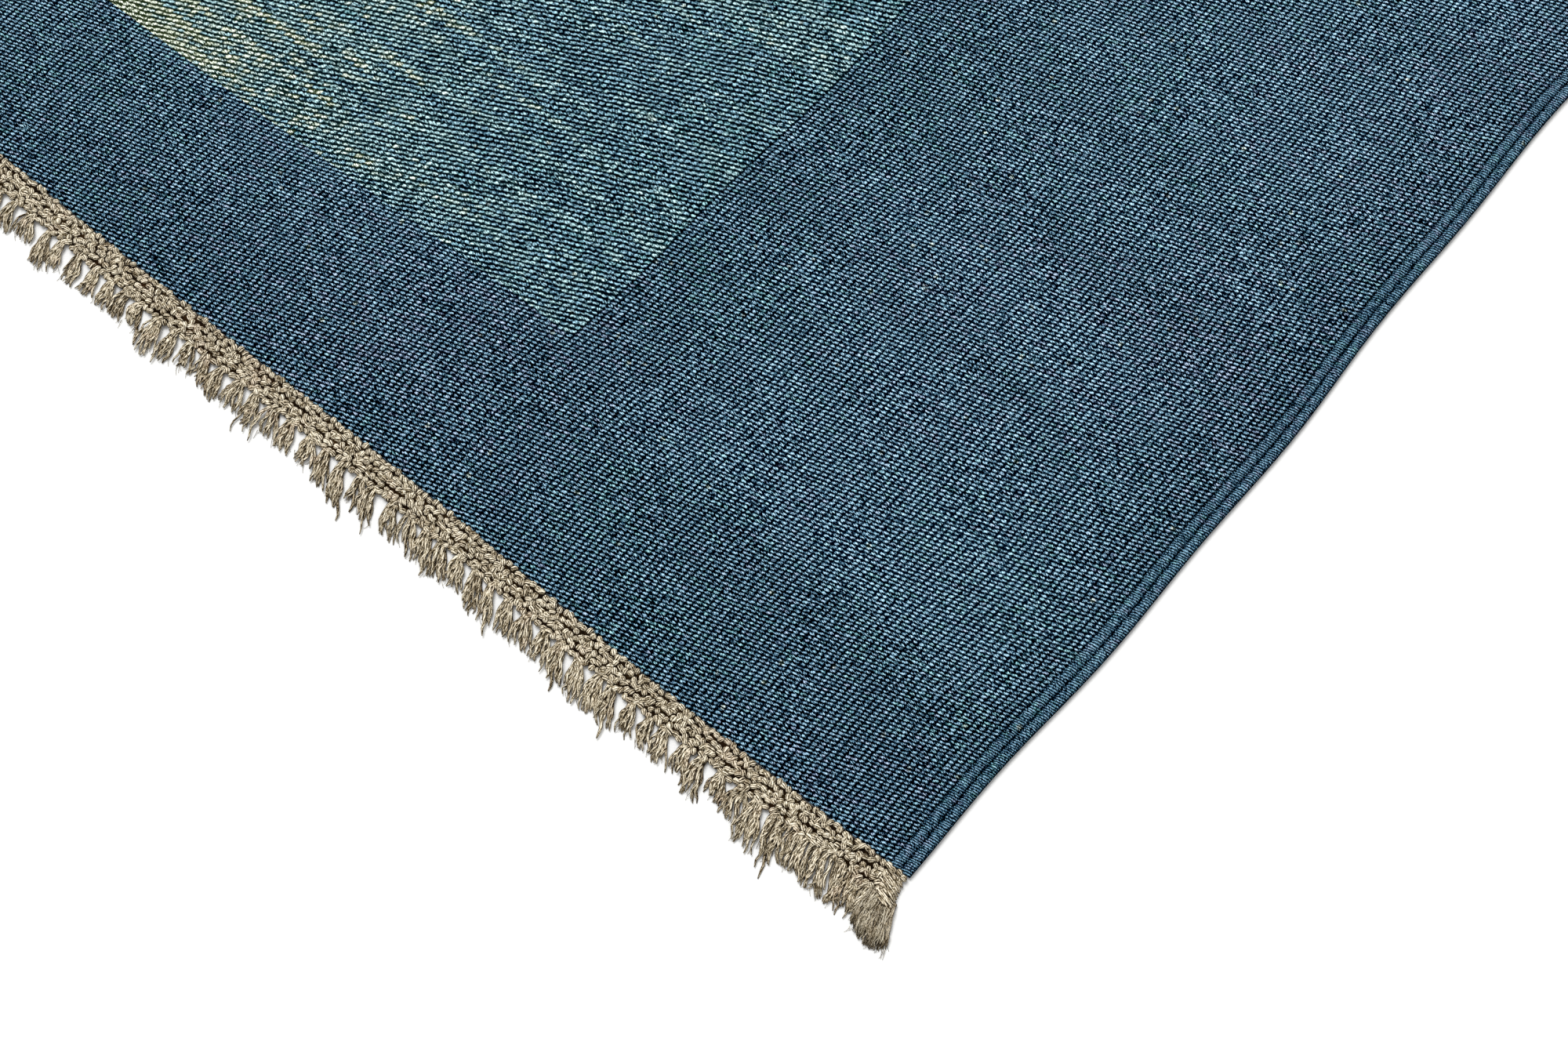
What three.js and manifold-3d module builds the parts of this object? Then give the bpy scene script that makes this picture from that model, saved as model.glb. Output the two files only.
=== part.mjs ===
// A flat-woven kilim rug lying on the floor: one wool cloth with corded selvedges,
// and across each end a band of knotted warp ends that hangs on as a short fringe.
// Millimetres, +Z up. X runs along the weft, Y along the warp, and the rug rests
// on z = 0 with the origin under the middle of its bounding box.
import * as THREE from 'three';
import { mergeVertices } from 'three/addons/utils/BufferGeometryUtils.js';
import Module from 'manifold-3d';

// Cloth, measured without its end finish
const CLOTH_WIDTH = 1700;
const CLOTH_LENGTH = 2400;
const CLOTH_THICKNESS = 3;
// The weft pulls each selvedge in by this much at mid length
const DRAW_IN = 6;
const END_STEPS = 26;
const SIDE_STEPS = 48;

// Selvedge: cords of doubled warps along both long edges, a little proud of the cloth
const SELVEDGE_CORDS = 2;
const CORD_WIDTH = 5.7;
const CORD_HEIGHT = 3.5;
const CORD_SIDES = 6;
const CORD_END_INSET = 0.5;

// End band: rows of knots, laid side by side, in the undyed warp ends
const PIECE_GAP = 0.3;
const BAND_WIDTH = 15;
const BAND_ROWS = 5;
const BAND_EDGE_HEIGHT = 3.1;
const BAND_GROOVE_HEIGHT = 3.1;
const BAND_CREST_HEIGHT = 3.6;
const BAND_END_INSET = 0.5;

// Fringe: locks of yarn whose roots are fused into the band
const LOCKS_PER_END = 150;
const LOCK_HEIGHT = 2.9;
const LOCK_TIP_HEIGHT = 2.2;
const LOCK_ROOT_DEPTH = 2;
const LOCK_HALF_WIDTH = { least: 4.0, spread: 1.1 };
const LOCK_LENGTH = { least: 14, spread: 5.5 };
const LOCK_ROOT_JITTER = 1.7;
const LOCK_LEAN_JITTER = 1.4;
const LOCK_CLEARANCE = 0.8;
// The heavy lock at each corner of the rug, made of the selvedge's doubled warps: its root's
// middle is rootIn from the band's end, and no other lock's root comes within zone of that end
const CORNER_LOCK = { halfWidth: 10, length: 21.5, lean: 6, rootIn: 3.5, zone: 14 };

// Shape of a lock: how wide it is, as a share of its half width, along its length
const LOCK_STATIONS = [
  { along: 0, width: 0.7 },
  { along: 0.6, width: 1 },
  { along: 1, width: 0.62 },
];
const CORNER_STATIONS = [
  { along: 0, width: 0.78 },
  { along: 0.4, width: 0.9 },
  { along: 0.7, width: 1 },
  { along: 0.9, width: 0.78 },
  { along: 1, width: 0.42 },
];
// One side of the tip runs on past the other by this share of the half width
const LOCK_TIP_SKEW = 0.5;

// Slow waves of the hand-beaten edges: swing to each side, length of one wave, and phase
const EDGE_WAVES = {
  right: [
    { swing: 2.7, run: 520, phase: 0.83 },
    { swing: 1.0, run: 150, phase: 1.74 },
  ],
  left: [
    { swing: 2.3, run: 610, phase: 2.4 },
    { swing: 0.9, run: 170, phase: 0.5 },
  ],
  front: [
    { swing: 1.7, run: 900, phase: -0.65 },
    { swing: 1.1, run: 340, phase: -1.98 },
  ],
  back: [
    { swing: 1.9, run: 760, phase: 1.2 },
    { swing: 0.9, run: 300, phase: 0.3 },
  ],
};

// How the fringe falls at each end, with +Y pointing out of that end: its mean lean to +X
// over LEAN_REACH, a slow sway in that lean from lock to lock, and its unevenness's seed
const ENDS = [
  { name: 'fringe_front', waves: EDGE_WAVES.front, turned: true, lean: -8.5, sway: 2.2, seed: 1 },
  { name: 'fringe_back', waves: EDGE_WAVES.back, turned: false, lean: -6, sway: 2.6, seed: 2 },
];
const LEAN_REACH = 20;
const LEAN_BEND = 1.3;
const SWAY_STEP = 0.17;

const blueWool = new THREE.MeshStandardMaterial({
  name: 'blue_wool', color: 0x49646f, roughness: 0.9, metalness: 0,
});
const undyedWool = new THREE.MeshStandardMaterial({
  name: 'undyed_wool', color: 0x90887a, roughness: 0.92, metalness: 0,
});

const wasm = await Module();
wasm.setup();

function toSolid(geometry) {
  const bare = geometry.clone();
  bare.deleteAttribute('normal');
  bare.deleteAttribute('uv');
  const merged = mergeVertices(bare, 1e-4);
  return new wasm.Manifold(new wasm.Mesh({
    numProp: 3,
    vertProperties: new Float32Array(merged.attributes.position.array),
    triVerts: new Uint32Array(merged.index.array),
  }));
}

function toGeometry(solid) {
  const { vertProperties, triVerts } = solid.getMesh();
  const geometry = new THREE.BufferGeometry();
  geometry.setAttribute('position', new THREE.BufferAttribute(vertProperties, 3));
  geometry.setIndex(new THREE.BufferAttribute(triVerts, 1));
  geometry.computeVertexNormals();
  return geometry;
}

function wander(waves, along) {
  return waves.reduce(
    (sum, wave) => sum + wave.swing * Math.sin((2 * Math.PI * along) / wave.run + wave.phase), 0);
}

function drawIn(y) {
  return DRAW_IN * Math.cos((Math.PI * y) / CLOTH_LENGTH);
}

const rightEdge = (y) => CLOTH_WIDTH / 2 - drawIn(y) + wander(EDGE_WAVES.right, y);
const leftEdge = (y) => -CLOTH_WIDTH / 2 + drawIn(y) + wander(EDGE_WAVES.left, y);
const frontEdge = (x) => -CLOTH_LENGTH / 2 + wander(EDGE_WAVES.front, x);
const backEdge = (x) => CLOTH_LENGTH / 2 + wander(EDGE_WAVES.back, x);

// A repeatable uneven number from 0 to 1 for one lock and one of its traits
function uneven(lock, trait, seed) {
  const value = Math.sin(lock * 12.9898 + trait * 78.233 + seed * 37.719) * 43758.5453;
  return value - Math.floor(value);
}

// The woven slab, as wide as the middle lines of the outermost cords
function slab() {
  const outline = new THREE.Shape();
  const inset = CORD_WIDTH / 2;
  const [frontY, backY] = [-CLOTH_LENGTH / 2, CLOTH_LENGTH / 2];
  const points = [];
  for (let i = 0; i < END_STEPS; i += 1) {
    const x = THREE.MathUtils.lerp(leftEdge(frontY) + inset, rightEdge(frontY) - inset, i / END_STEPS);
    points.push(new THREE.Vector2(x, frontEdge(x)));
  }
  for (let i = 0; i < SIDE_STEPS; i += 1) {
    const y = THREE.MathUtils.lerp(frontEdge(rightEdge(frontY)), backEdge(rightEdge(backY)), i / SIDE_STEPS);
    points.push(new THREE.Vector2(rightEdge(y) - inset, y));
  }
  for (let i = 0; i < END_STEPS; i += 1) {
    const x = THREE.MathUtils.lerp(rightEdge(backY) - inset, leftEdge(backY) + inset, i / END_STEPS);
    points.push(new THREE.Vector2(x, backEdge(x)));
  }
  for (let i = 0; i < SIDE_STEPS; i += 1) {
    const y = THREE.MathUtils.lerp(backEdge(leftEdge(backY)), frontEdge(leftEdge(frontY)), i / SIDE_STEPS);
    points.push(new THREE.Vector2(leftEdge(y) + inset, y));
  }
  outline.setFromPoints(points);
  return toSolid(new THREE.ExtrudeGeometry(outline, { depth: CLOTH_THICKNESS, bevelEnabled: false }));
}

// One selvedge cord, whose flat underside lies on z = 0; side is +1 right, -1 left
function selvedgeCord(edge, side, number) {
  const offset = side * CORD_WIDTH * (number + 0.5);
  const x = (y) => edge(y) - offset;
  const start = frontEdge(x(-CLOTH_LENGTH / 2)) + CORD_END_INSET;
  const end = backEdge(x(CLOTH_LENGTH / 2)) - CORD_END_INSET;
  const route = [];
  for (let i = 0; i <= SIDE_STEPS; i += 1) {
    const y = THREE.MathUtils.lerp(start, end, i / SIDE_STEPS);
    route.push(new THREE.Vector3(x(y), y, CORD_HEIGHT / 2));
  }
  // The path's frame puts the section's x along -Z and its y along -X
  const halfTurn = Math.PI / CORD_SIDES;
  const section = new THREE.Shape();
  for (let i = 0; i < CORD_SIDES; i += 1) {
    const angle = halfTurn * (2 * i + 1);
    const high = (CORD_HEIGHT / 2 / Math.cos(halfTurn)) * Math.cos(angle);
    const wide = (CORD_WIDTH / 2 / Math.cos(halfTurn)) * Math.sin(angle);
    if (i === 0) section.moveTo(high, wide);
    else section.lineTo(high, wide);
  }
  return toSolid(new THREE.ExtrudeGeometry(section, {
    steps: SIDE_STEPS, extrudePath: new THREE.CatmullRomCurve3(route), bevelEnabled: false,
  }));
}

function cloth() {
  const pieces = [slab()];
  for (let number = 0; number < SELVEDGE_CORDS; number += 1) {
    pieces.push(selvedgeCord(rightEdge, 1, number));
    pieces.push(selvedgeCord(leftEdge, -1, number));
  }
  return toGeometry(wasm.Manifold.union(pieces));
}

// Each end is built facing +Y with y = 0 on the cloth's nominal end line
function endEdge(end) {
  return end.turned
    ? (x) => -wander(end.waves, -x) + PIECE_GAP
    : (x) => wander(end.waves, x) + PIECE_GAP;
}

// Where the band starts and stops, from the cloth's own corners
function endSpan(end) {
  const y = end.turned ? -CLOTH_LENGTH / 2 : CLOTH_LENGTH / 2;
  const [left, right] = end.turned ? [-rightEdge(y), -leftEdge(y)] : [leftEdge(y), rightEdge(y)];
  return { left: left + BAND_END_INSET, right: right - BAND_END_INSET };
}

function band(end) {
  const { left, right } = endSpan(end);
  const edge = endEdge(end);
  const row = BAND_WIDTH / BAND_ROWS;
  const section = new THREE.Shape();
  section.moveTo(0, 0);
  section.lineTo(BAND_WIDTH, 0);
  section.lineTo(BAND_WIDTH, BAND_EDGE_HEIGHT);
  for (let i = BAND_ROWS - 1; i >= 0; i -= 1) {
    section.lineTo(row * (i + 0.5), BAND_CREST_HEIGHT);
    if (i > 0) section.lineTo(row * i, BAND_GROOVE_HEIGHT);
  }
  section.lineTo(0, BAND_EDGE_HEIGHT);
  const geometry = new THREE.ExtrudeGeometry(section, {
    depth: right - left, steps: END_STEPS, bevelEnabled: false,
  });
  // The section's x becomes +Y, its y becomes +Z, and the depth runs along +X
  const position = geometry.attributes.position;
  for (let i = 0; i < position.count; i += 1) {
    const x = left + position.getZ(i);
    position.setXYZ(i, x, edge(x) + position.getX(i), position.getY(i));
  }
  return toSolid(geometry);
}

// Roots, tips and widths of every lock, each no wider than leaves its neighbours clear
function lockPlans(end) {
  const { left, right } = endSpan(end);
  const small = LOCKS_PER_END - 2;
  const pitch = (right - left - 2 * CORNER_LOCK.zone) / small;
  const plans = [];
  for (let i = 0; i < small; i += 1) {
    const jitter = (trait) => 2 * uneven(i, trait, end.seed) - 1;
    plans.push({
      root: left + CORNER_LOCK.zone + pitch * (i + 0.5) + LOCK_ROOT_JITTER * jitter(1),
      lean: end.lean + end.sway * Math.sin(SWAY_STEP * i + end.seed) + LOCK_LEAN_JITTER * jitter(2),
      length: LOCK_LENGTH.least + LOCK_LENGTH.spread * uneven(i, 3, end.seed),
      halfWidth: LOCK_HALF_WIDTH.least + LOCK_HALF_WIDTH.spread * uneven(i, 4, end.seed),
      tipSide: Math.sign(jitter(5)),
      stations: LOCK_STATIONS,
    });
  }
  const corner = (side, root) => ({
    root,
    lean: side * CORNER_LOCK.lean,
    length: CORNER_LOCK.length,
    halfWidth: CORNER_LOCK.halfWidth,
    tipSide: side,
    stations: CORNER_STATIONS,
  });
  plans.unshift(corner(-1, left + CORNER_LOCK.rootIn));
  plans.push(corner(1, right - CORNER_LOCK.rootIn));
  for (let i = 1; i < plans.length - 1; i += 1) {
    const room = [plans[i - 1], plans[i + 1]].map((other) => {
      const atRoot = Math.abs(other.root - plans[i].root);
      const atTip = Math.abs(other.root + other.lean - plans[i].root - plans[i].lean);
      const between = Math.min(atRoot, atTip) - LOCK_CLEARANCE;
      return other.stations === CORNER_STATIONS ? between - other.halfWidth : between / 2;
    });
    plans[i].halfWidth = Math.min(plans[i].halfWidth, ...room);
  }
  return plans;
}

// One lock: a flat-lying tapered tongue of yarn, level on the floor, thinner to its tip
function lock(plan, edge) {
  const rootY = edge(plan.root) + BAND_WIDTH - LOCK_ROOT_DEPTH;
  const reach = plan.length + LOCK_ROOT_DEPTH;
  const middle = (out) => plan.root + plan.lean * (out / LEAN_REACH) ** LEAN_BEND;
  const skew = (sign) => (sign === plan.tipSide ? 0 : LOCK_TIP_SKEW * plan.halfWidth);
  const side = (station, sign) => {
    const out = (reach - skew(sign)) * station.along;
    return new THREE.Vector2(middle(out) + sign * plan.halfWidth * station.width, rootY + out);
  };
  const outline = new THREE.Shape([
    ...plan.stations.map((station) => side(station, 1)),
    ...plan.stations.map((station) => side(station, -1)).reverse(),
  ]);
  const geometry = new THREE.ExtrudeGeometry(outline, { depth: 1, bevelEnabled: false });
  const position = geometry.attributes.position;
  for (let i = 0; i < position.count; i += 1) {
    const along = (position.getY(i) - rootY) / reach;
    const height = THREE.MathUtils.lerp(LOCK_HEIGHT, LOCK_TIP_HEIGHT, along);
    position.setZ(i, position.getZ(i) * height);
  }
  return toSolid(geometry);
}

function endFinish(end) {
  const edge = endEdge(end);
  const locks = lockPlans(end).map((plan) => lock(plan, edge));
  const mesh = new THREE.Mesh(toGeometry(wasm.Manifold.union([band(end), ...locks])), undyedWool);
  mesh.name = end.name;
  mesh.position.y = end.turned ? -CLOTH_LENGTH / 2 : CLOTH_LENGTH / 2;
  mesh.rotation.z = end.turned ? Math.PI : 0;
  return mesh;
}

const rug = new THREE.Group();
const clothMesh = new THREE.Mesh(cloth(), blueWool);
clothMesh.name = 'cloth';
rug.add(clothMesh, ...ENDS.map(endFinish));

// Bring the origin under the middle of the whole rug
rug.updateMatrixWorld(true);
const middle = new THREE.Box3().setFromObject(rug).getCenter(new THREE.Vector3());
rug.position.set(-middle.x, -middle.y, 0);

export default rug;
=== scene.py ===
import math
import random
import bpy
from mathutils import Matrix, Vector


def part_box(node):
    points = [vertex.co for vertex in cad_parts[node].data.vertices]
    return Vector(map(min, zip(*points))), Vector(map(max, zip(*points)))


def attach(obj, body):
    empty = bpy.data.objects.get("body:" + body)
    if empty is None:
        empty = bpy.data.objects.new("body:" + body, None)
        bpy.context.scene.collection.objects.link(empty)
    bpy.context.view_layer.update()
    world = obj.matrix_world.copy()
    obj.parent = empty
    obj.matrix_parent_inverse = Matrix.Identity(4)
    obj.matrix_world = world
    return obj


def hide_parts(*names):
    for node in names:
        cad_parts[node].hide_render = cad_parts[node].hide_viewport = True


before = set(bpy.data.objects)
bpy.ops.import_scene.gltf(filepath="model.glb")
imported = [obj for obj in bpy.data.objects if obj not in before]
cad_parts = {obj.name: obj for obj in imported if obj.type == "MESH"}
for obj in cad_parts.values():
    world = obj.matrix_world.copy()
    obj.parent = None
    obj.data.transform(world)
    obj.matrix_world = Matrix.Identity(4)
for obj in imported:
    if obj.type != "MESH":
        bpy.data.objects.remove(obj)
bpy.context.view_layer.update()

from types import SimpleNamespace

import bmesh
import bpy
from bpy.props import FloatProperty, FloatVectorProperty, IntProperty, PointerProperty
from bpy.types import Operator, Panel, PropertyGroup
from mathutils import Matrix, Vector

bl_info = {
    "name": "Kilim Rug",
    "version": (1, 0, 0),
    "blender": (4, 5, 0),
    "location": "View3D > Sidebar > Kilim",
    "description": "A flat-woven wool rug with corded selvedges, knotted end bands and a short fringe",
    "category": "Add Mesh",
}

# The body that the rug's pieces are attached to
BODY = "root"

# Waves of the hand-beaten edges, in metres: swing to each side, length of one wave, phase
EDGE_WAVES = {
    "right": ((0.0027, 0.520, 0.83), (0.0010, 0.150, 1.74)),
    "left": ((0.0023, 0.610, 2.4), (0.0009, 0.170, 0.5)),
    "front": ((0.0017, 0.900, -0.65), (0.0011, 0.340, -1.98)),
    "back": ((0.0019, 0.760, 1.2), (0.0009, 0.300, 0.3)),
}
# How far the lighter field's edges stray from their nominal margins, in the same terms
MARGIN_WAVES = {
    "right": ((0.0060, 0.800, -2.20),),
    "left": ((0.0050, 0.930, 0.9),),
    "front": ((0.0040, 0.700, 2.98),),
    "back": ((0.0036, 0.820, 0.4),),
}
# The two fringed ends. Each is laid out facing +Y from its own end line, and the one with
# turn -1 is then turned about. lean is the fringe's mean fall to +X over LEAN_REACH, sway a
# slow change in it from lock to lock
ENDS = (
    {"name": "front", "node": "fringe_front", "turn": -1, "lean": -0.0085, "sway": 0.0022, "seed": 1},
    {"name": "back", "node": "fringe_back", "turn": 1, "lean": -0.0060, "sway": 0.0026, "seed": 2},
)
LEAN_REACH = 0.020
LEAN_BEND = 1.3
SWAY_STEP = 0.17
# What the points of a yarn or knot carry: its shade from 0 to 1, the strands seen round it,
# and the turns that they take over its length. Only a knot has more than YARN_STRANDS
# A shade is a yarn's own tone and, for a fringe yarn, also painted shade: the lower it lies in its lock,
# the darker
TRAITS = ("shade", "strands", "turns")
YARN_STRANDS = 5.0
DULL_WOOL = {"Roughness": 0.88, "Specular IOR Level": 0.0, "Sheen Roughness": 0.55}


def metres(name, default, description):
    return FloatProperty(name=name, description=description, default=default, unit="LENGTH")


def whole(name, default, description):
    return IntProperty(name=name, description=description, default=default)


def dye(name, red, green, blue, description):
    return FloatVectorProperty(
        name=name, description=description, subtype="COLOR", size=4, default=(red, green, blue, 1.0))


class KilimClothSettings(PropertyGroup):
    width: metres("Width", 1.700, "Cloth from selvedge to selvedge")
    length: metres("Length", 2.400, "Cloth between its end bands")
    thickness: metres("Thickness", 0.003, "Thickness of the weave")
    draw_in: metres("Draw-in", 0.006, "How far the weft pulls each selvedge in")
    relief: metres("Relief", 0.00035, "Height of the cloth's slow buckles")
    grid: metres("Grid", 0.0125, "Size of the sheet's faces")
    cord_width: metres("Cord Width", 0.0057, "Width of a selvedge cord")
    cord_height: metres("Cord Height", 0.0035, "Height of a selvedge cord")
    cords: whole("Cords", 2, "Cords along each selvedge")
    rib: metres("Rib", 0.0032, "Distance between warps in the side borders")
    side_ribs: whole("Side Ribs", 90, "Warps across a side border, cords left out")
    field_ribs: whole("Field Ribs", 334, "Warps across the lighter field")
    weft_float: metres("Float", 0.0022, "Distance between weft floats on one rib")
    field_float: metres("Field Float", 0.0029, "The same in the lighter field")
    end_margin: metres("End Margin", 0.1035, "Width of the border at each end")
    end_floats: whole("End Floats", 50, "Floats along an end border")


class KilimFringeSettings(PropertyGroup):
    gap: metres("Gap", 0.0003, "Between the cloth and its end band")
    band_width: metres("Band Width", 0.015, "Width of the knotted band")
    band_inset: metres("Band Inset", 0.0005, "From the cloth's corner to the band's end")
    band_rows: whole("Band Rows", 5, "Rows of knots in the band")
    knot_pitch: metres("Knot Pitch", 0.0031, "Distance between knots in a row")
    knot_length: metres("Knot Length", 0.0032, "Length of a knot")
    knot_radius: metres("Knot Radius", 0.00170, "Half the width of a knot")
    locks: whole("Locks", 150, "Locks of fringe at each end")
    least_length: metres("Least Length", 0.014, "Shortest lock")
    length_spread: metres("Length Spread", 0.0055, "How much longer the longest is")
    least_half: metres("Least Half Width", 0.0040, "Half width of the slimmest lock")
    half_spread: metres("Half Width Spread", 0.0011, "How much fuller the fullest is")
    root_jitter: metres("Root Jitter", 0.0017, "How far a root strays sideways")
    lean_jitter: metres("Lean Jitter", 0.0014, "How far a lean strays")
    root_depth: metres("Root Depth", 0.002, "Root inside the band")
    corner_zone: metres("Corner Zone", 0.014, "Length of the band kept for a corner's lock")
    corner_root: metres("Corner Root", 0.0035, "From the band's end to the root of a corner's lock")
    corner_half: metres("Corner Half Width", 0.010, "Half the width of a corner's lock")
    corner_length: metres("Corner Length", 0.0215, "Length of a corner's lock")
    corner_lean: metres("Corner Lean", 0.006, "Outward lean of a corner's lock")
    corner_gap: metres("Corner Gap", 0.0100, "From a corner's lock to the few yarns beside it")
    yarns: whole("Yarns", 12, "Yarns in a lock")
    corner_yarns: whole("Corner Yarns", 160, "Yarns in a corner's lock")
    yarn_radius: metres("Yarn Radius", 0.00070, "Half the width of a plied yarn")
    yarn_turn: metres("Yarn Turn", 0.0060, "Length of one turn of the plies")


class KilimColourSettings(PropertyGroup):
    border_deep: dye("Border Deep", 0.038, 0.105, 0.174, "Deep indigo of the border")
    border_light: dye("Border Light", 0.099, 0.232, 0.338, "Faded blue of the border")
    teal: dye("Teal", 0.054, 0.186, 0.204, "Greener fibres in the blue")
    violet: dye("Violet", 0.098, 0.142, 0.238, "Redder fibres in the blue")
    field_mid: dye("Field Mid", 0.053, 0.148, 0.218, "Middle blue of the field")
    field_light: dye("Field Light", 0.134, 0.274, 0.304, "Pale aqua of the field's streaks")
    cream: dye("Cream", 0.375, 0.430, 0.320, "Nearly undyed yarn in the field")
    olive: dye("Olive", 0.110, 0.115, 0.065, "Dark flecks of vegetable matter in the wool")
    # The undyed wool runs from its dark to its light colour by each yarn's own tone, drifting patches
    # and, in the fringe, painted shade of the pile
    undyed_light: dye("Undyed Light", 0.410, 0.346, 0.228, "Light side of the undyed wool")
    undyed_dark: dye("Undyed Dark", 0.150, 0.104, 0.050, "Dark side of the undyed wool")
    undyed_warm: dye("Undyed Warm", 0.330, 0.240, 0.155, "Browner patches in the undyed wool")


class KilimStageSettings(PropertyGroup):
    lens: FloatProperty(name="Lens", description="Focal length in mm on a 36 mm sensor", default=78.97)
    view_from: FloatVectorProperty(
        name="View From", description="Camera seen from the cloth's near right corner",
        subtype="TRANSLATION", unit="LENGTH", default=(0.29693, -0.38628, 1.51610))
    view_right: FloatVectorProperty(
        name="View Right", description="The picture's right in the rug's frame", subtype="DIRECTION",
        default=(0.76388, 0.64490, -0.02434))
    view_up: FloatVectorProperty(
        name="View Up", description="The picture's up in the rug's frame", subtype="DIRECTION",
        default=(-0.58294, 0.70568, 0.40273))
    floor_size: metres("Floor", 30.0, "Side of the floor")
    sun: FloatProperty(name="Sun", description="Strength of the key light", default=2.2)
    sky: FloatProperty(name="Sky", description="Strength of the fill light", default=0.70)


def wander(waves, along):
    return sum(swing * math.sin(math.tau * along / run + phase) for swing, run, phase in waves)


def edge(side, along):
    """Where one edge of the cloth lies, at a place along it."""
    cloth = bpy.context.scene.kilim_cloth
    half = cloth.length / 2
    if side in ("left", "right"):
        half = cloth.width / 2 - cloth.draw_in * math.cos(math.pi * along / cloth.length)
    outward = half if side in ("right", "back") else -half
    return outward + wander(EDGE_WAVES[side], along)


def rug_shift():
    """From the cloth's own middle lines to the frame, whose origin is under the whole rug's box."""
    low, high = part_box("cloth")
    cloth = bpy.context.scene.kilim_cloth
    steps = [i / 100 - 0.5 for i in range(101)]
    across = [edge(side, cloth.length * s) for side in ("left", "right") for s in steps]
    along = [edge(side, cloth.width * s) for side in ("front", "back") for s in steps]
    own = Vector((min(across) + max(across), min(along) + max(along), 0)) / 2
    middle = (low + high) / 2
    return Vector((middle.x - own.x, middle.y - own.y, 0))


def rib_counts(cloth):
    """Ribs from the left edge to the end of its cords, of its border and of the whole cloth."""
    cords = 2.0 * cloth.cords
    border = cords + cloth.side_ribs
    return cords, border, 2.0 * border + cloth.field_ribs


def uneven(lock, trait, seed):
    """A repeatable uneven number from 0 to 1 for one lock and one of its traits."""
    value = math.sin(lock * 12.9898 + trait * 78.233 + seed * 37.719) * 43758.5453
    return value - math.floor(value)


def between(stations, along):
    """The value that a table of (place, value) rows gives at one place."""
    for (a, low), (b, high) in zip(stations, stations[1:]):
        if along <= b:
            return low + (high - low) * max(0.0, along - a) / (b - a)
    return stations[-1][1]


def by_math(operation, swapped=False):
    """A wire's operator, which adds one Math node."""

    def operator(self, *others):
        return self.bench.math(operation, *((*others, self) if swapped else (self, *others)))

    return operator


class Wire:
    """A node's output. Sums and comparisons of wires and numbers add Math nodes fed by them."""

    def __init__(self, bench, socket):
        self.bench = bench
        self.socket = socket

    __add__ = by_math("ADD")
    __sub__ = by_math("SUBTRACT")
    __rsub__ = by_math("SUBTRACT", swapped=True)
    __mul__ = by_math("MULTIPLY")
    __truediv__ = by_math("DIVIDE")
    __pow__ = by_math("POWER")
    __abs__ = by_math("ABSOLUTE")
    __floor__ = by_math("FLOOR")
    __gt__ = by_math("GREATER_THAN")
    __lt__ = by_math("LESS_THAN")


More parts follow.
